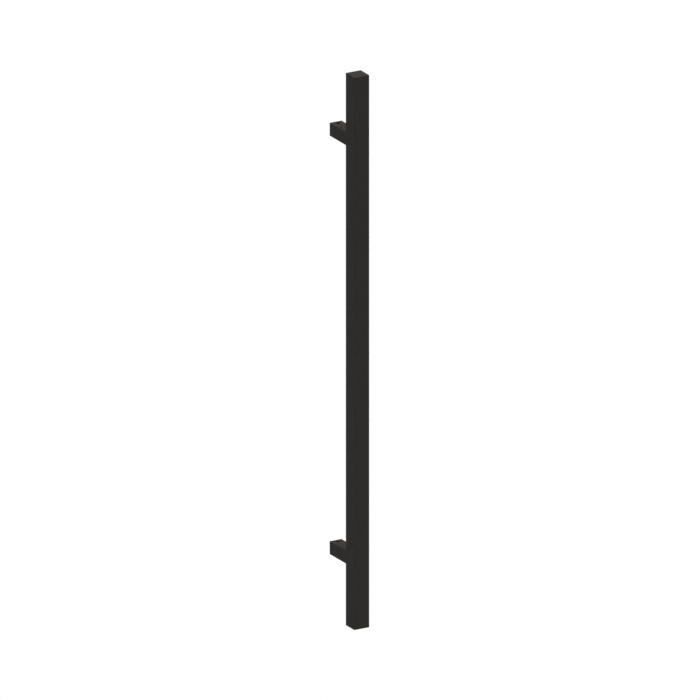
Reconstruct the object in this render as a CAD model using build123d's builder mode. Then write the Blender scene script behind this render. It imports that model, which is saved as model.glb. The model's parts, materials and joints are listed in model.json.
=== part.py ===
import os
from math import radians, tan

from build123d import *

# Door pull handle: a square grip bar held off the door by two square posts.
# Millimetres, +Z up. The door's face is the plane Y = 0 and the handle stands out along -Y.
# The origin lies on the door's face, midway between the two fixing centres.

# Grip bar
bar_side = 25.0
bar_length = 845.0
bar_wall = 2.0
bar_inner_radius = 1.0
edge_radius = 0.5

# End caps
cap_thickness = 2.0
cap_plug_depth = 6.0
cap_plug_clearance = 0.05

# Posts
post_side = 20.0
post_length = 51.5
post_floor = 12.0
post_end_chamfer = 0.3
fixing_centres = 640.0

# Spigots that are bolted to the door
spigot_diameter = 14.0
spigot_length = 16.0
spigot_chamfer = 0.6
spigot_clearance = 0.1
door_thread_radius = 3.4
groove_depth = 2.3
bore_mouth_chamfer = 0.4

# Grub screws that hold the posts on the spigots
grub_diameter = 6.0
grub_from_door = 7.5
grub_recess = 1.25
grub_point_angle = 90.0
grub_point_flat = 1.5
grub_socket_flats = 3.0
grub_socket_depth = 1.8
grub_hole_countersink = 0.2

# Screws that hold the posts on the bar
screw_diameter = 8.0
screw_hole_clearance = 0.2
screw_head_diameter = 13.0
screw_head_height = 8.0
screw_head_clearance = 0.6
screw_socket_flats = 6.0
screw_socket_depth = 4.0
thread_engagement = 9.0
thread_clearance = 0.03

# Split washers under the screw heads
washer_diameter = 12.7
washer_thickness = 2.0
washer_hole_clearance = 0.1
washer_slit = 1.0
washer_slit_slant = 1.2

# Nut blocks inside the bar
block_depth = 12.0
block_length = 25.0
block_clearance = 0.2

# Pins that keep the posts square to the bar
pin_diameter = 3.0
pin_in_post = 5.0
pin_in_block = 3.0
pin_clearance = 0.02
pin_end_gap = 0.3

# Places that follow from the sizes
tube_length = bar_length - 2 * cap_thickness
cavity_side = bar_side - 2 * bar_wall
bar_axis_depth = post_length + bar_side / 2
floor_depth = post_length - post_floor
block_face_depth = post_length + bar_wall
spigot_bore_radius = spigot_diameter / 2 + spigot_clearance
head_bore_radius = screw_head_diameter / 2 + screw_head_clearance
screw_hole_radius = screw_diameter / 2 + screw_hole_clearance
pin_hole_radius = pin_diameter / 2 + pin_clearance
pin_offset = (screw_hole_radius + post_side / 2) / 2
groove_radius = spigot_diameter / 2 - groove_depth
point_slope = tan(radians(grub_point_angle / 2))
fixing_heights = {"upper": fixing_centres / 2, "lower": -fixing_centres / 2}


def fixing_plane(height, depth=0.0):
    """Plane across a post, facing the door with its own Y up, at a depth in front of the door."""
    return Plane(origin=(0, -depth, height), x_dir=(-1, 0, 0), z_dir=(0, 1, 0))


def grub_plane(height, radius):
    """Plane across a grub screw, facing up, at a distance above the post's axis."""
    return Plane(origin=(0, -grub_from_door, height + radius), x_dir=(1, 0, 0), z_dir=(0, 0, 1))


def save(piece, name):
    piece.part.label = name
    export_step(piece.part, f"parts/{name}.step")


def make_grip_bar():
    """Square tube, drilled in its door-side wall for each post's screw and pin."""
    with BuildPart() as bar:
        with BuildSketch(Plane((0, -bar_axis_depth, -tube_length / 2))):
            RectangleRounded(bar_side, bar_side, edge_radius)
            RectangleRounded(cavity_side, cavity_side, bar_inner_radius, mode=Mode.SUBTRACT)
        extrude(amount=tube_length)
        for height in fixing_heights.values():
            with Locations(fixing_plane(height, post_length)):
                Hole(screw_hole_radius, depth=bar_side / 2)
                with Locations((0, pin_offset)):
                    Hole(pin_hole_radius, depth=bar_side / 2)
    return bar


def make_end_cap(end):
    """Cap on one end of the tube, with a plug that fits inside it. The end is 1 or -1."""
    tube_end = Plane(origin=(0, -bar_axis_depth, end * tube_length / 2), z_dir=(0, 0, end))
    with BuildPart() as cap:
        with BuildSketch(tube_end):
            Rectangle(bar_side, bar_side)
        extrude(amount=cap_thickness)
        outer_face = cap.faces().sort_by(Axis.Z)[-1 if end > 0 else 0]
        side_edges = cap.edges().filter_by(Axis.Z)
        fillet(side_edges + outer_face.edges(), edge_radius)
        plug_side = cavity_side - 2 * cap_plug_clearance
        with BuildSketch(tube_end):
            RectangleRounded(plug_side, plug_side, bar_inner_radius)
        extrude(amount=-cap_plug_depth)
    return cap


def make_post(height):
    """Square post with a stepped bore, a pin hole at the bar and a grub screw hole on top."""
    mouth = fixing_plane(height)
    with BuildPart() as post:
        with BuildSketch(mouth):
            RectangleRounded(post_side, post_side, edge_radius)
        extrude(amount=-post_length)
        door_face = post.faces().sort_by(Axis.Y)[-1]
        chamfer(door_face.edges(), post_end_chamfer)
        with Locations(mouth):
            CounterSinkHole(
                spigot_bore_radius,
                spigot_bore_radius + bore_mouth_chamfer,
                depth=spigot_length + spigot_clearance,
            )
            Hole(head_bore_radius, depth=floor_depth)
            Hole(screw_hole_radius, depth=post_length)
        with Locations(Plane((0, -post_length, height), x_dir=(1, 0, 0), z_dir=(0, -1, 0))):
            with Locations((0, pin_offset)):
                Hole(pin_hole_radius, depth=pin_in_post + pin_end_gap)
        with Locations(grub_plane(height, post_side / 2)):
            grub_hole_radius = grub_diameter / 2 + thread_clearance
            CounterSinkHole(
                grub_hole_radius,
                grub_hole_radius + grub_hole_countersink,
                depth=post_side / 2,
            )
    return post


def make_spigot(height):
    """Turned boss with a V groove for the grub screw and a thread for the bolt in the door."""
    mouth = fixing_plane(height)
    overshoot = 2 * groove_depth
    with BuildPart() as spigot:
        with BuildSketch(mouth):
            Circle(spigot_diameter / 2)
        extrude(amount=-spigot_length)
        chamfer(spigot.edges().group_by(Axis.Y)[0], spigot_chamfer)
        with Locations(mouth):
            Hole(door_thread_radius, depth=spigot_length)
        with BuildSketch(Plane((0, -grub_from_door, height))):
            with BuildLine():
                Polyline(
                    (groove_radius, -grub_point_flat / 2),
                    (groove_radius, grub_point_flat / 2),
                    (groove_radius + overshoot, grub_point_flat / 2 + overshoot * point_slope),
                    (groove_radius + overshoot, -grub_point_flat / 2 - overshoot * point_slope),
                    close=True,
                )
            make_face()
        revolve(axis=Axis((0, 0, height), (0, 1, 0)), mode=Mode.SUBTRACT)
    return spigot


def make_grub_screw(height):
    """Recessed screw with a hexagon socket and a cone point that seats in the spigot's groove."""
    tip = groove_radius + thread_clearance
    top = post_side / 2 - grub_recess
    radius = grub_diameter / 2
    shoulder = tip + (radius - grub_point_flat / 2) / point_slope
    with BuildPart() as screw:
        with BuildSketch(Plane((0, -grub_from_door, height), x_dir=(1, 0, 0), z_dir=(0, -1, 0))):
            with BuildLine():
                Polyline(
                    (0, tip),
                    (grub_point_flat / 2, tip),
                    (radius, shoulder),
                    (radius, top),
                    (0, top),
                    close=True,
                )
            make_face()
        revolve(axis=Axis((0, -grub_from_door, height), (0, 0, 1)))
        with BuildSketch(grub_plane(height, top)):
            RegularPolygon(grub_socket_flats / 2, 6, major_radius=False)
        extrude(amount=-grub_socket_depth, mode=Mode.SUBTRACT)
    return screw


def make_post_screw(height):
    """Socket head screw that pulls the post to the bar, its head on the split washer."""
    seat = fixing_plane(height, floor_depth - washer_thickness)
    shank_length = washer_thickness + post_floor + bar_wall + thread_engagement
    with BuildPart() as screw:
        with BuildSketch(seat):
            Circle(screw_diameter / 2)
        extrude(amount=-shank_length)
        with BuildSketch(seat):
            Circle(screw_head_diameter / 2)
        extrude(amount=screw_head_height)
        with BuildSketch(seat.offset(screw_head_height)):
            RegularPolygon(screw_socket_flats / 2, 6, major_radius=False)
        extrude(amount=-screw_socket_depth, mode=Mode.SUBTRACT)
    return screw


def make_lock_washer(height):
    """Spring washer, pressed flat, with its slanted slit."""
    with BuildPart() as washer:
        with BuildSketch(fixing_plane(height, floor_depth)):
            Circle(washer_diameter / 2)
            Circle(screw_diameter / 2 + washer_hole_clearance, mode=Mode.SUBTRACT)
        extrude(amount=washer_thickness)
        with BuildSketch(Plane((0, -floor_depth, height), x_dir=(0, 1, 0), z_dir=(1, 0, 0))):
            with BuildLine():
                Polyline(
                    (0, -washer_slit / 2),
                    (washer_thickness, washer_slit_slant - washer_slit / 2),
                    (washer_thickness, washer_slit_slant + washer_slit / 2),
                    (0, washer_slit / 2),
                    close=True,
                )
            make_face()
        extrude(amount=washer_diameter, mode=Mode.SUBTRACT)
    return washer


def make_nut_block(height):
    """Tapped block that lies against the inside of the tube's door-side wall."""
    face = fixing_plane(height, block_face_depth)
    block_width = cavity_side - 2 * block_clearance
    with BuildPart() as block:
        with BuildSketch(face):
            Rectangle(block_width, block_length)
        extrude(amount=-block_depth)
        chamfer(block.edges().filter_by(Axis.Z), bar_inner_radius)
        with Locations(face):
            Hole(screw_diameter / 2 + thread_clearance, depth=block_depth)
            with Locations((0, pin_offset)):
                Hole(pin_hole_radius, depth=pin_in_block + pin_end_gap)
    return block


def make_locating_pin(height):
    """Dowel through the tube's wall, from the post's end into the nut block."""
    pin_end = fixing_plane(height, post_length - pin_in_post)
    with BuildPart() as pin:
        with BuildSketch(pin_end):
            with Locations((0, pin_offset)):
                Circle(pin_diameter / 2)
        extrude(amount=-(pin_in_post + bar_wall + pin_in_block))
    return pin


os.makedirs("parts", exist_ok=True)

save(make_grip_bar(), "grip_bar")
save(make_end_cap(1), "top_end_cap")
save(make_end_cap(-1), "bottom_end_cap")

for side, centre_height in fixing_heights.items():
    save(make_post(centre_height), f"{side}_post")
    save(make_spigot(centre_height), f"{side}_spigot")
    save(make_grub_screw(centre_height), f"{side}_grub_screw")
    save(make_post_screw(centre_height), f"{side}_post_screw")
    save(make_lock_washer(centre_height), f"{side}_lock_washer")
    save(make_nut_block(centre_height), f"{side}_nut_block")
    save(make_locating_pin(centre_height), f"{side}_locating_pin")
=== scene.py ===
import json
from math import ceil, cos, floor, hypot, pi, radians, sin, sqrt, tan

import bmesh
import bpy
from mathutils import Matrix, Vector


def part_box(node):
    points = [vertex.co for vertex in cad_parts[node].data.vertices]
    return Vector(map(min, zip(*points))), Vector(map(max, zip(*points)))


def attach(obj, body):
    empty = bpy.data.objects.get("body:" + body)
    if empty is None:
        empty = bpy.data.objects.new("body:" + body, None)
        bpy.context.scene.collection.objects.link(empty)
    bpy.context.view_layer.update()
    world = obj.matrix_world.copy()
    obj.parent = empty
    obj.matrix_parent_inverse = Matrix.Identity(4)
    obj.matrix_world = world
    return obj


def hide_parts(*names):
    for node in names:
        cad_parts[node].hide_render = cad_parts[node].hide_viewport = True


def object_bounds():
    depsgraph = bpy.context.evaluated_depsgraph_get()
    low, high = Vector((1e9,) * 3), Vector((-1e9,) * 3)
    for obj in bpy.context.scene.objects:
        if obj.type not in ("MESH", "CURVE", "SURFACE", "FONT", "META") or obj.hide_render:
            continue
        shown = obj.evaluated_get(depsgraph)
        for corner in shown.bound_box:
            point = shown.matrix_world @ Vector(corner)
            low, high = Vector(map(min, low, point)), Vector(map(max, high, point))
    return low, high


# Looks of the door pull handle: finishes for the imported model's pieces, and detailed posts and
# fasteners of the same sizes, with the threads, knurling and small chamfers that those lack.
# Metres and degrees, +Z up. The door's face is the plane Y = 0 and the handle stands out
# along -Y.

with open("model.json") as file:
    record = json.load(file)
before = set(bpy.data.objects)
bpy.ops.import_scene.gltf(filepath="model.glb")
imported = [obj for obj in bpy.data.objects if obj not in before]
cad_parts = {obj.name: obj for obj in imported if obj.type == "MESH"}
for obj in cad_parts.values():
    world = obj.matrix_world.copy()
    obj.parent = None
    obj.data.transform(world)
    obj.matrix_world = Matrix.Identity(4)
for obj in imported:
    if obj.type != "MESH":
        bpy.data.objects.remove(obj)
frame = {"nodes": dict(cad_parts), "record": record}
cad_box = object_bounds()
sides = ("upper", "lower")

# The photograph's view: a parallel projection onto a square picture
PHOTO_PIXELS = 700
PIXELS_PER_METRE = 693.1
ORIGIN_PIXEL_X = 335.6
ORIGIN_PIXEL_Y = 337.3
CAMERA_AZIMUTH = -29.6
CAMERA_ELEVATION = 19.4
CAMERA_DISTANCE = 3.0

# Stage
FLOOR_DROP = 0.20
FLOOR_SIZE = 24.0
FLOOR_COLOUR = (0.60, 0.60, 0.60, 1)
FLOOR_LIFT = 0.43

# Light
WHITE = (1, 1, 1, 1)
WORLD_LEVEL = 0.25
KEY_POWER = 2.36
KEY_SPREAD = 70.0
KEY_AZIMUTH = 45.0
KEY_ELEVATION = 75.0

# Powder coat
# The coat's colour runs between these two by its grain: painted shade in the grain's valleys,
# painted light on its peaks
COAT_VALLEY_SHADE = (0.0345, 0.0326, 0.0297)
COAT_PEAK_LIGHT = (0.0470, 0.0443, 0.0404)
COAT_ROUGHNESS = (0.65, 0.75)
COAT_SPECULAR = 0.05
GRAIN_SCALE = 2600.0
GRAIN_DETAIL = 2.0
GRAIN_DEPTH = 0.00020
PEEL_SCALE = 620.0
PEEL_DETAIL = 3.0
PEEL_DEPTH = 0.00030
CLOUD_SCALE = 22.0
CLOUD_DETAIL = 4.0

# Zinc plate
ZINC_DARK = (0.40, 0.405, 0.42)
ZINC_LIGHT = (0.56, 0.565, 0.575)
ZINC_ROUGHNESS = (0.28, 0.44)
ZINC_MOTTLE_SCALE = 420.0
ZINC_MARK_SCALE = 5200.0

# Blackened steel
BLACKED_DARK = (0.008, 0.008, 0.008)
BLACKED_LIGHT = (0.016, 0.016, 0.016)
BLACKED_ROUGHNESS = (0.50, 0.68)
BLACKED_SPECULAR = 0.06
BLACKED_MOTTLE_SCALE = 900.0
BLACKED_MARK_SCALE = 6000.0

# Mottle and tool marks of both metals
MOTTLE_DETAIL = 3.0
MARK_DETAIL = 2.0
MARK_DEPTH = 0.000025

# Metric threads: the sixty degree profile, in shares of its pitch from one root to the next
THREAD_DEPTH = 5 / 8 * sqrt(3) / 2
CREST_FLAT = 1 / 8
ROOT_FLAT = 1 / 4
FLANK = (1 - CREST_FLAT - ROOT_FLAT) / 2
FLANK_START = ROOT_FLAT / 2
THREAD_STEPS = (
    FLANK_START,
    FLANK_START + FLANK / 2,
    FLANK_START + FLANK,
    1 - FLANK_START - FLANK,
    1 - FLANK_START - FLANK / 2,
    1 - FLANK_START,
)
THREAD_CHAMFER = 0.0003
THREAD_CLEARANCE = 0.00003
BOLT_THREAD_RADIUS = 0.004
BOLT_THREAD_PITCH = 0.00125
GRUB_THREAD_PITCH = 0.001

# Posts
POST_EDGE_RADIUS = 0.0005
POST_END_CHAMFER = 0.0003
POST_CORNER_STEPS = 6
BORE_CLEARANCE = 0.0001
BORE_MOUTH_CHAMFER = 0.0004
SCREW_HOLE_CLEARANCE = 0.0002
GRUB_HOLE_COUNTERSINK = 0.0002

# A post's tapped hole is plugged while the post is coated: the number of the hole's material,
# and how far below the post's face the coat ends. The hole's bare thread is given nearly black
# steel, which also paints shade into that recess.
UNCOATED_SHADED_HOLE = 1
COAT_EDGE = 0.00001

# Nut blocks
BLOCK_CHAMFER = 0.001

# Locating pins
PIN_CHAMFER = 0.0003
PIN_CLEARANCE = 0.00002
PIN_END_GAP = 0.0003

# Spigots
SPIGOT_CHAMFER = 0.0006
SPIGOT_DOOR_CHAMFER = 0.0003

# Grub screws
GRUB_POINT_FLAT = 0.0015
GRUB_POINT_ANGLE = 90.0
GRUB_SOCKET_FLATS = 0.003
GRUB_SOCKET_DEPTH = 0.0018

# Screws between posts and bar
HEAD_HEIGHT = 0.008
HEAD_CHAMFER = 0.0008
HEAD_FOOT = 0.0012
HEAD_SOCKET_FLATS = 0.006
HEAD_SOCKET_DEPTH = 0.004
KNURL_TEETH = 48
KNURL_DEPTH = 0.00018
KNURL_COLUMNS = 4

# Hexagon sockets
SOCKET_CHAMFER = 0.0002
SOCKET_DRILL_ANGLE = 118.0
SOCKET_DRILL_SHARE = 0.9

# Making of the pieces
TOOL_REACH = 0.001
TURNED_COLUMNS = 96
WELD_DISTANCE = 1e-7
SHARP_ANGLE = 30.0


def view_axes(azimuth, elevation):
    """Right, up and backward directions of a camera that looks from an azimuth and elevation."""
    a = radians(azimuth)
    e = radians(elevation)
    right = Vector((cos(a), sin(a), 0))
    back = Vector((sin(a) * cos(e), -cos(a) * cos(e), sin(e)))
    return right, back.cross(right), back


def make_camera():
    """Camera that frames the handle as the photograph does."""
    right, up, back = view_axes(CAMERA_AZIMUTH, CAMERA_ELEVATION)
    middle = PHOTO_PIXELS / 2
    aside = (middle - ORIGIN_PIXEL_X) / PIXELS_PER_METRE
    above = (ORIGIN_PIXEL_Y - middle) / PIXELS_PER_METRE
    data = bpy.data.cameras.new("photo_camera")
    data.type = "ORTHO"
    data.ortho_scale = PHOTO_PIXELS / PIXELS_PER_METRE
    camera = bpy.data.objects.new("photo_camera", data)
    bpy.context.collection.objects.link(camera)
    turn = Matrix((right, up, back)).transposed().to_4x4()
    place = aside * right + above * up + CAMERA_DISTANCE * back
    camera.matrix_world = Matrix.Translation(place) @ turn
    bpy.context.scene.camera = camera


class Shader:
    """A node tree with short calls for adding nodes and linking them."""

    def __init__(self, tree):
        self.tree = tree
        self.tree.nodes.clear()

    def add(self, kind, inputs=None, **settings):
        """A new node. An input is a value, or the socket of another node that feeds it."""
        node = self.tree.nodes.new(kind)
        for name, value in settings.items():
            setattr(node, name, value)
        for name, value in (inputs or {}).items():
            if isinstance(value, bpy.types.NodeSocket):
                self.tree.links.new(value, node.inputs[name])
            else:
                node.inputs[name].default_value = value
        return node

    def math(self, operation, *values):
        """Result of an operation on values, each a number or a socket."""
        node = self.add("ShaderNodeMath", dict(enumerate(values)), operation=operation)
        return node.outputs[0]

    def noise(self, place, scale, detail):
        """Noise between about 0 and 1."""
        inputs = {"Vector": place, "Scale": scale, "Detail": detail}
        return self.add("ShaderNodeTexNoise", inputs).outputs["Fac"]

    def between(self, share, low, high):
        """Value between two, by a share from 0 to 1."""
        inputs = {"Value": share, "To Min": low, "To Max": high}
        return self.add("ShaderNodeMapRange", inputs).outputs["Result"]

    def mixed(self, share, first, second):
        """Colour between two, by a share from 0 to 1."""
        mix = self.add("ShaderNodeMix", {"Factor": share}, data_type="RGBA")
        mix.inputs["A"].default_value = (*first, 1)
        mix.inputs["B"].default_value = (*second, 1)
        return mix.outputs["Result"]

    def bump(self, height, depth, under=None):
        """Normal of a bumpy surface, on top of another bump where one is given."""
        inputs = {"Height": height, "Strength": 1.0, "Distance": depth}
        if under:
            inputs["Normal"] = under
        return self.add("ShaderNodeBump", inputs).outputs["Normal"]


def new_material(name):
    """A material, and the shader of its node tree."""
    material = bpy.data.materials.new(name)
    material.use_nodes = True
    return material, Shader(material.node_tree)


def finish_material(shader, **inputs):
    """Adds the surface, its inputs named with _ for each space."""
    named = {name.replace("_", " "): value for name, value in inputs.items()}
    surface = shader.add("ShaderNodeBsdfPrincipled", named)
    shader.add("ShaderNodeOutputMaterial", {"Surface": surface.outputs[0]})


def seen_as_background(shader):
    """1 for rays that show the background: from the camera, from gloss and through glass."""
    path = shader.add("ShaderNodeLightPath").outputs
    first = shader.math("MAXIMUM", path["Is Camera Ray"], path["Is Glossy Ray"])
    return shader.math("MAXIMUM", first, path["Is Transmission Ray"])


def make_world():
    """White where it shows as background, and a dimmer even light on everything else."""
    world = bpy.data.worlds.new("studio")
    world.use_nodes = True
    shader = Shader(world.node_tree)
    strength = shader.between(seen_as_background(shader), WORLD_LEVEL, 1.0)
    background = shader.add("ShaderNodeBackground", {"Strength": strength, "Color": WHITE})
    shader.add("ShaderNodeOutputWorld", {"Surface": background.outputs[0]})
    bpy.context.scene.world = world


def make_floor():
    """Pale floor below the handle, lifted to white where it shows as background."""
    half = FLOOR_SIZE / 2
    level = cad_box[0].z - FLOOR_DROP
    corners = [
        (-half, -half, level),
        (half, -half, level),
        (half, half, level),
        (-half, half, level),
    ]
    mesh = bpy.data.meshes.new("floor")
    mesh.from_pydata(corners, [], [(0, 1, 2, 3)])
    floor_object = bpy.data.objects.new("floor", mesh)
    bpy.context.collection.objects.link(floor_object)
    material, shader = new_material("floor_paper")
    paper = shader.add("ShaderNodeBsdfDiffuse", {"Color": FLOOR_COLOUR})
    lift = shader.math("MULTIPLY", seen_as_background(shader), FLOOR_LIFT)
    glow = shader.add("ShaderNodeEmission", {"Strength": lift})
    lit = shader.add("ShaderNodeAddShader", {0: paper.outputs[0], 1: glow.outputs[0]})
    shader.add("ShaderNodeOutputMaterial", {"Surface": lit.outputs[0]})
    mesh.materials.append(material)


def make_key_light():
    """Broad soft light from overhead."""
    data = bpy.data.lights.new("overhead_light", "SUN")
    data.energy = KEY_POWER
    data.angle = radians(KEY_SPREAD)
    light = bpy.data.objects.new("overhead_light", data)
    towards_light = view_axes(KEY_AZIMUTH, KEY_ELEVATION)[2]
    light.rotation_euler = towards_light.to_track_quat("Z", "Y").to_euler()
    bpy.context.collection.objects.link(light)


def powder_coat():
    """Matt black powder coat: fine grain, a slight orange peel and a faintly uneven sheen. Its
    colour is painted darker in the grain's valleys and lighter on its peaks, as shade and light of
    that relief.
    """
    material, shader = new_material("matt_black_powder_coat")
    place = shader.add("ShaderNodeTexCoord").outputs["Object"]
    grain = shader.noise(place, GRAIN_SCALE, GRAIN_DETAIL)
    peel = shader.noise(place, PEEL_SCALE, PEEL_DETAIL)
    cloud = shader.noise(place, CLOUD_SCALE, CLOUD_DETAIL)
    finish_material(
        shader,
        # Colour painted darker in the grain's valleys and lighter on its peaks, as shade of the
        # bump's relief
        Base_Color=shader.mixed(grain, COAT_VALLEY_SHADE, COAT_PEAK_LIGHT),
        Roughness=shader.between(cloud, *COAT_ROUGHNESS),
        Specular_IOR_Level=COAT_SPECULAR,
        Normal=shader.bump(grain, GRAIN_DEPTH, shader.bump(peel, PEEL_DEPTH)),
    )
    return material


def turned_rings(shader, place, along, across, middle):
    """Coordinates that make noise run in rings round an axis: radius and place along it."""
    parts = shader.add("ShaderNodeSeparateXYZ", {"Vector": place}).outputs
    offset = shader.math("SUBTRACT", shader.math("ABSOLUTE", parts[across]), middle)
    aside = shader.math("MULTIPLY", parts["X"], parts["X"])
    radius = shader.math("SQRT", shader.math("MULTIPLY_ADD", offset, offset, aside))
    return shader.add("ShaderNodeCombineXYZ", {"X": radius, "Y": parts[along]}).outputs[0]


def zinc_plate(fixing_height):
    """Bright zinc plate on turned steel: tool marks round each post's axis, slightly mottled."""
    material, shader = new_material("zinc_plated_steel")
    place = shader.add("ShaderNodeTexCoord").outputs["Object"]
    mottle = shader.noise(place, ZINC_MOTTLE_SCALE, MOTTLE_DETAIL)
    rings = turned_rings(shader, place, "Y", "Z", fixing_height)
    marks = shader.noise(rings, ZINC_MARK_SCALE, MARK_DETAIL)
    finish_material(
        shader,
        Base_Color=shader.mixed(mottle, ZINC_DARK, ZINC_LIGHT),
        Metallic=1.0,
        Roughness=shader.between(mottle, *ZINC_ROUGHNESS),
        Normal=shader.bump(marks, MARK_DEPTH),
    )
    return material


def blacked_steel(grub_depth):
    """Blackened steel: nearly black, satin, with tool marks round the grub screws' axes."""
    material, shader = new_material("blackened_steel")
    place = shader.add("ShaderNodeTexCoord").outputs["Object"]
    mottle = shader.noise(place, BLACKED_MOTTLE_SCALE, MOTTLE_DETAIL)
    rings = turned_rings(shader, place, "Z", "Y", grub_depth)
    marks = shader.noise(rings, BLACKED_MARK_SCALE, MARK_DETAIL)
    finish_material(
        shader,
        Base_Color=shader.mixed(mottle, BLACKED_DARK, BLACKED_LIGHT),
        Roughness=shader.between(mottle, *BLACKED_ROUGHNESS),
        Specular_IOR_Level=BLACKED_SPECULAR,
        Normal=shader.bump(marks, MARK_DEPTH),
    )
    return material


def thread_radius(outer_radius, pitch, turns):
    """Radius of a screw thread, a number of turns away from the middle of its root."""
    from_root = abs((turns + 1 / 2) % 1 - 1 / 2)
    rise = (from_root - FLANK_START) / FLANK
    return outer_radius - THREAD_DEPTH * pitch * (1 - min(max(rise, 0), 1))


def countersunk(low, high, mouth):
    """Limit for the thread of a hole, which widens it to the mouth's radius at both its ends."""
    return lambda radius, along: max(radius, mouth - min(along - low, high - along))


def shade(piece):
    """Smooth shading, apart from the piece's corners."""
    piece.data.shade_smooth()
    piece.data.set_sharp_from_angle(angle=radians(SHARP_ANGLE))


def make_piece(name, shape):
    """An object of its own for a closed shape."""
    bmesh.ops.recalc_face_normals(shape, faces=shape.faces)
    mesh = bpy.data.meshes.new(name)
    shape.to_mesh(mesh)
    shape.free()
    piece = bpy.data.objects.new(name, mesh)
    bpy.context.collection.objects.link(piece)
    shade(piece)
    return piece


def make_prism(name, outlines):
    """Closed mesh through a stack of outlines, all with as many points, its ends filled."""
    shape = bmesh.new()
    rings = [[shape.verts.new(point) for point in outline] for outline in outlines]
    for first, second in zip(rings, rings[1:]):
        for place in range(len(first)):
            side = (first[place - 1], first[place], second[place], second[place - 1])
            shape.faces.new(side)
    shape.faces.new(rings[0])
    shape.faces.new(rings[-1])
    return make_piece(name, shape)


def cut(piece, *tools):
    """Takes the tools' solids out of the piece, and deletes the tools.

    Edges of no length, which the cuts can leave, are dissolved.
    """
    for tool in tools:
        modifier = piece.modifiers.new("cut", "BOOLEAN")
        modifier.object = tool
        modifier.solver = "EXACT"
    finished = piece.evaluated_get(bpy.context.evaluated_depsgraph_get())
    shape = bmesh.new()
    shape.from_mesh(finished.data)
    bmesh.ops.dissolve_degenerate(shape, dist=WELD_DISTANCE, edges=shape.edges)
    piece.modifiers.clear()
    shape.to_mesh(piece.data)
    shape.free()
    for tool in tools:
        bpy.data.objects.remove(tool)
    shade(piece)
    piece.modifiers.new("weighted_normals", "WEIGHTED_NORMAL").keep_sharp = True


class Turned:
    """A turned solid: rings of points round its own axis, each a radius and a place along it."""

    def __init__(self, columns):
        self.angles = [2 * pi * column / columns for column in range(columns + 1)]
        self.rings = []

    def path(self, *points):
        """Plain round rings, each given by its radius and its place along the axis."""
        for point in points:
            self.rings.append([point] * len(self.angles))

    def thread(self, start, end, outer_radius, pitch, limit):
        """Rings along the helix of a right-hand thread, held between its two ends.

        Turns are counted from the origin, so that threads on one axis run in step. Those that
        lie past an end fall together there.
        """
        low = min(start, end)
        high = max(start, end)
        first_turn = floor(low / pitch) - 2
        last_turn = ceil(high / pitch)
        rings = []
        for turn in range(first_turn, last_turn + 1):
            for step in THREAD_STEPS:
                ring = []
                for angle in self.angles:
                    share = angle / (2 * pi)
                    along = min(max(pitch * (turn + step + share), low), high)
                    radius = thread_radius(outer_radius, pitch, along / pitch - share)
                    ring.append((limit(radius, along), along))
                rings.append(ring)
        if start > end:
            rings.reverse()
        self.rings += rings

    def knurl(self, radius, along):
        """One ring of straight knurling, its teeth standing out to the radius."""
        depths = [KNURL_DEPTH * (1 + cos(KNURL_TEETH * angle)) / 2 for angle in self.angles]
        self.rings.append([(radius - depth, along) for depth in depths])

    def socket(self, flats, depth, top):
        """Hexagon socket with a coned mouth and a drill point."""
        corner = flats / 2 / cos(pi / 6)
        mouth = corner + SOCKET_CHAMFER
        hexagon = [flats / 2 / cos(angle % (pi / 3) - pi / 6) for angle in self.angles]
        self.path((mouth, top))
        self.rings.append([(radius, top - (mouth - radius)) for radius in hexagon])
        self.rings.append([(radius, top - depth) for radius in hexagon])
        drill_radius = flats / 2 * SOCKET_DRILL_SHARE
        drill_depth = drill_radius / tan(radians(SOCKET_DRILL_ANGLE / 2))
        self.path((drill_radius, top - depth), (0, top - depth - drill_depth))

    def close(self):
        """Joins the last ring to the first, for a piece with a hole along its axis."""
        self.rings.append(self.rings[0])

    def make(self, name, place):
        """The closed mesh, its axis laid along the place's own Z."""
        shape = bmesh.new()
        grid = []
        for ring in self.rings:
            column = zip(self.angles, ring)
            points = [(r * cos(a), r * sin(a), along) for a, (r, along) in column]
            grid.append([shape.verts.new(place @ Vector(point)) for point in points])
        for first, second in zip(grid, grid[1:]):
            for left, right in zip(range(len(first)), range(1, len(first))):
                shape.faces.new((first[left], first[right], second[right], second[left]))
        bmesh.ops.remove_doubles(shape, verts=shape.verts, dist=WELD_DISTANCE)
        return make_piece(name, shape)


def towards_door(height):
    """Place of a piece whose axis runs into the door at a height above the origin."""
    return Matrix.Translation((0, 0, height)) @ Matrix.Rotation(-pi / 2, 4, "X")


def make_tap(place, low, high, outer_radius, pitch, mouth):
    """The solid that a tapped hole takes away, countersunk at both ends and reaching past them."""
    start = low - TOOL_REACH
    end = high + TOOL_REACH
    tap = Turned(TURNED_COLUMNS)
    tap.path((0, start))
    tap.thread(start, end, outer_radius, pitch, countersunk(low, high, mouth))
    tap.path((0, end))
    return tap.make("tap", place)


def make_drill(place, *points):
    """The solid that a turned hole takes away, given by radius and place from end to end."""
    drill = Turned(TURNED_COLUMNS)
    drill.path((0, points[0][1]), *points, (0, points[-1][1]))
    return drill.make("drill", place)


def pin_drill(side, start, end):
    """Drill for the locating pin's hole, between two depths."""
    low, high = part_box(f"{side}_locating_pin")
    radius = (high.z - low.z) / 2 + PIN_CLEARANCE
    return make_drill(towards_door((low.z + high.z) / 2), (radius, start), (radius, end))


def rounded_square(half, radius):
    """Points round a square with rounded corners: across and up from its middle."""
    points = []
    for corner in range(4):
        to_corner = (corner + 1 / 2) * pi / 2
        reach = (half - radius) * sqrt(2)
        for step in range(POST_CORNER_STEPS + 1):
            angle = (corner + step / POST_CORNER_STEPS) * pi / 2
            across = reach * cos(to_corner) + radius * cos(angle)
            up = reach * sin(to_corner) + radius * sin(angle)
            points.append((across, up))
    return points


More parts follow.
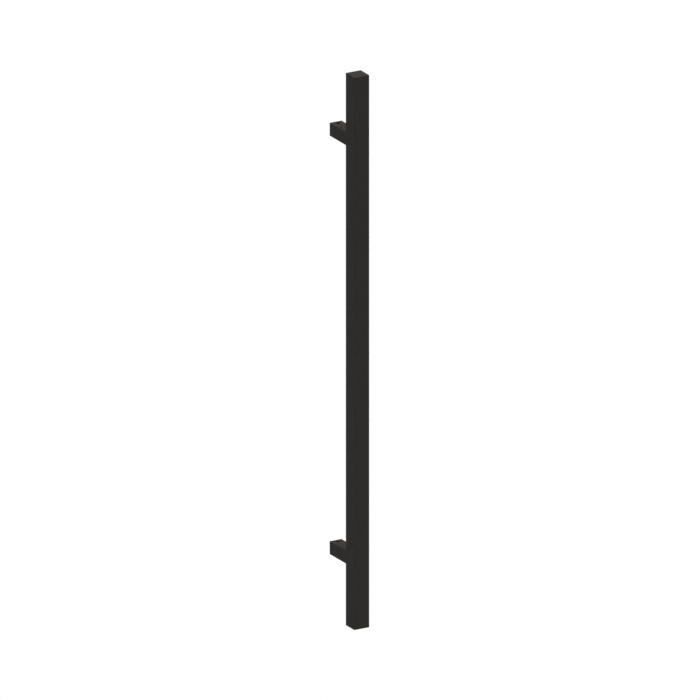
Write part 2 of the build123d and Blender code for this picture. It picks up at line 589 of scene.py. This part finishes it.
def make_post(side):
    """Square post with its stepped bore, pin hole and tapped hole for the grub screw."""
    low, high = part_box(f"{side}_post")
    spigot_low, spigot_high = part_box(f"{side}_spigot")
    washer_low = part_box(f"{side}_lock_washer")[0]
    pin_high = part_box(f"{side}_locating_pin")[1]
    grub_low, grub_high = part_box(f"{side}_grub_screw")
    height = (low.z + high.z) / 2
    half = (high.z - low.z) / 2
    sections = [
        (half - POST_END_CHAMFER, POST_EDGE_RADIUS - POST_END_CHAMFER, high.y),
        (half, POST_EDGE_RADIUS, high.y - POST_END_CHAMFER),
        (half, POST_EDGE_RADIUS, low.y),
    ]
    outlines = []
    for size, radius, y in sections:
        outlines.append([(x, y, height + z) for x, z in rounded_square(size, radius)])
    post = make_prism(f"{side}_tapped_post", outlines)
    bore_radius = (spigot_high.z - spigot_low.z) / 2 + BORE_CLEARANCE
    screw_hole_radius = BOLT_THREAD_RADIUS + SCREW_HOLE_CLEARANCE
    bore = make_drill(
        towards_door(height),
        (bore_radius + BORE_MOUTH_CHAMFER + TOOL_REACH, high.y + TOOL_REACH),
        (bore_radius, high.y - BORE_MOUTH_CHAMFER),
        (bore_radius, washer_low.y),
        (screw_hole_radius, washer_low.y),
        (screw_hole_radius, low.y - TOOL_REACH),
    )
    grub_depth = (grub_low.y + grub_high.y) / 2
    grub_hole_radius = (grub_high.x - grub_low.x) / 2 + THREAD_CLEARANCE
    grub_hole_mouth = grub_hole_radius + GRUB_HOLE_COUNTERSINK
    tap = make_tap(
        Matrix.Translation((0, grub_depth, 0)),
        grub_low.z,
        high.z,
        grub_hole_radius,
        GRUB_THREAD_PITCH,
        grub_hole_mouth,
    )
    cut(post, bore, tap, pin_drill(side, low.y - TOOL_REACH, pin_high.y + PIN_END_GAP))
    # Faces in the tapped hole take the nearly black steel: bare thread, and painted shade of the
    # recess
    for face in post.data.polygons:
        from_axis = hypot(face.center.x, face.center.y - grub_depth)
        in_hole = grub_low.z < face.center.z < high.z - COAT_EDGE
        if in_hole and from_axis < grub_hole_mouth:
            face.material_index = UNCOATED_SHADED_HOLE
    return post


def make_nut_block(side):
    """Block with chamfered long edges, tapped for the post's screw, with the pin's hole."""
    low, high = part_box(f"{side}_nut_block")
    pin_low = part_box(f"{side}_locating_pin")[0]
    outline = [
        (low.x + BLOCK_CHAMFER, low.y),
        (low.x, low.y + BLOCK_CHAMFER),
        (low.x, high.y - BLOCK_CHAMFER),
        (low.x + BLOCK_CHAMFER, high.y),
        (high.x - BLOCK_CHAMFER, high.y),
        (high.x, high.y - BLOCK_CHAMFER),
        (high.x, low.y + BLOCK_CHAMFER),
        (high.x - BLOCK_CHAMFER, low.y),
    ]
    outlines = [[(x, y, z) for x, y in outline] for z in (low.z, high.z)]
    block = make_prism(f"{side}_tapped_nut_block", outlines)
    hole_radius = BOLT_THREAD_RADIUS + THREAD_CLEARANCE
    tap = make_tap(
        towards_door((low.z + high.z) / 2),
        low.y,
        high.y,
        hole_radius,
        BOLT_THREAD_PITCH,
        hole_radius + THREAD_CHAMFER,
    )
    cut(block, tap, pin_drill(side, pin_low.y - PIN_END_GAP, high.y + TOOL_REACH))
    return block


def make_spigot(side):
    """Turned boss with its V groove, tapped through for the bolt in the door."""
    low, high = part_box(f"{side}_spigot")
    grub_low, grub_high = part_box(f"{side}_grub_screw")
    height = (low.z + high.z) / 2
    radius = (high.z - low.z) / 2
    groove_radius = grub_low.z - THREAD_CLEARANCE - height
    groove_middle = (grub_low.y + grub_high.y) / 2
    groove_foot = GRUB_POINT_FLAT / 2
    groove_depth = radius - groove_radius
    groove_mouth = groove_foot + groove_depth * tan(radians(GRUB_POINT_ANGLE / 2))
    widened = countersunk(low.y, high.y, BOLT_THREAD_RADIUS + THREAD_CHAMFER)
    spigot = Turned(TURNED_COLUMNS)
    spigot.thread(high.y, low.y, BOLT_THREAD_RADIUS, BOLT_THREAD_PITCH, widened)
    spigot.path(
        (radius - SPIGOT_CHAMFER, low.y),
        (radius, low.y + SPIGOT_CHAMFER),
        (radius, groove_middle - groove_mouth),
        (groove_radius, groove_middle - groove_foot),
        (groove_radius, groove_middle + groove_foot),
        (radius, groove_middle + groove_mouth),
        (radius, high.y - SPIGOT_DOOR_CHAMFER),
        (radius - SPIGOT_DOOR_CHAMFER, high.y),
    )
    spigot.close()
    return spigot.make(f"{side}_tapped_spigot", towards_door(height))


def make_grub_screw(side):
    """Threaded grub screw with a cone point below and a hexagon socket on top."""
    low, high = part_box(f"{side}_grub_screw")
    outer_radius = (high.x - low.x) / 2
    root_radius = outer_radius - THREAD_DEPTH * GRUB_THREAD_PITCH
    slope = tan(radians(GRUB_POINT_ANGLE / 2))
    foot = GRUB_POINT_FLAT / 2
    cone_end = low.z + (root_radius - foot) / slope

    def pointed(radius, along):
        on_cone = foot + (along - low.z) * slope
        on_chamfer = root_radius + high.z - along
        return min(radius, on_cone, on_chamfer)

    screw = Turned(TURNED_COLUMNS)
    screw.path((0, low.z), (foot, low.z))
    screw.thread(cone_end, high.z, outer_radius, GRUB_THREAD_PITCH, pointed)
    screw.socket(GRUB_SOCKET_FLATS, GRUB_SOCKET_DEPTH, high.z)
    depth = (low.y + high.y) / 2
    return screw.make(f"{side}_threaded_grub_screw", Matrix.Translation((0, depth, 0)))


def make_post_screw(side):
    """Socket head screw, threaded up to its head, which is knurled above a plain foot."""
    low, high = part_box(f"{side}_post_screw")
    height = (low.z + high.z) / 2
    head_radius = (high.z - low.z) / 2
    foot_radius = head_radius - KNURL_DEPTH
    seat = high.y - HEAD_HEIGHT
    root_radius = BOLT_THREAD_RADIUS - THREAD_DEPTH * BOLT_THREAD_PITCH

    def chamfered(radius, along):
        return min(radius, root_radius + along - low.y)

    screw = Turned(KNURL_TEETH * KNURL_COLUMNS)
    screw.path((0, low.y), (root_radius, low.y))
    screw.thread(low.y, seat, BOLT_THREAD_RADIUS, BOLT_THREAD_PITCH, chamfered)
    screw.path((foot_radius, seat), (foot_radius, seat + HEAD_FOOT))
    screw.knurl(head_radius, seat + HEAD_FOOT + KNURL_DEPTH)
    screw.knurl(head_radius, high.y - HEAD_CHAMFER)
    screw.path((head_radius - HEAD_CHAMFER, high.y))
    screw.socket(HEAD_SOCKET_FLATS, HEAD_SOCKET_DEPTH, high.y)
    return screw.make(f"{side}_knurled_post_screw", towards_door(height))


def make_pin(side):
    """Dowel with both ends chamfered."""
    low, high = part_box(f"{side}_locating_pin")
    radius = (high.z - low.z) / 2
    pin = Turned(TURNED_COLUMNS)
    pin.path(
        (0, low.y),
        (radius - PIN_CHAMFER, low.y),
        (radius, low.y + PIN_CHAMFER),
        (radius, high.y - PIN_CHAMFER),
        (radius - PIN_CHAMFER, high.y),
        (0, high.y),
    )
    return pin.make(f"{side}_chamfered_pin", towards_door((low.z + high.z) / 2))


def dress_nodes():
    """Paints every node, then lets a detailed piece stand for each post and fastener."""
    spigot_low, spigot_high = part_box("upper_spigot")
    grub_low, grub_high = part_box("upper_grub_screw")
    finishes = {
        "coated_steel": powder_coat(),
        "plated_steel": zinc_plate((spigot_low.z + spigot_high.z) / 2),
        "black_screw_steel": blacked_steel(-(grub_low.y + grub_high.y) / 2),
    }
    slots = {part["node"]: part["material_slot"] for part in frame["record"]["subparts"]}
    for name, node in frame["nodes"].items():
        for slot in node.material_slots:
            slot.material = finishes[slots[name]]
    makers = {
        "post": make_post,
        "nut_block": make_nut_block,
        "spigot": make_spigot,
        "grub_screw": make_grub_screw,
        "post_screw": make_post_screw,
        "locating_pin": make_pin,
    }
    for side in sides:
        for kind, maker in makers.items():
            name = f"{side}_{kind}"
            piece = maker(side)
            piece.data.materials.append(finishes[slots[name]])
            if kind == "post":
                # The post's second material, nearly black steel for its tapped hole, also paints
                # shade into that recess
                piece.data.materials.append(finishes["black_screw_steel"])
            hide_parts(name)
            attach(piece, "root")


make_camera()
make_world()
make_floor()
make_key_light()
dress_nodes()

bpy.context.scene.view_settings.view_transform = "Standard"
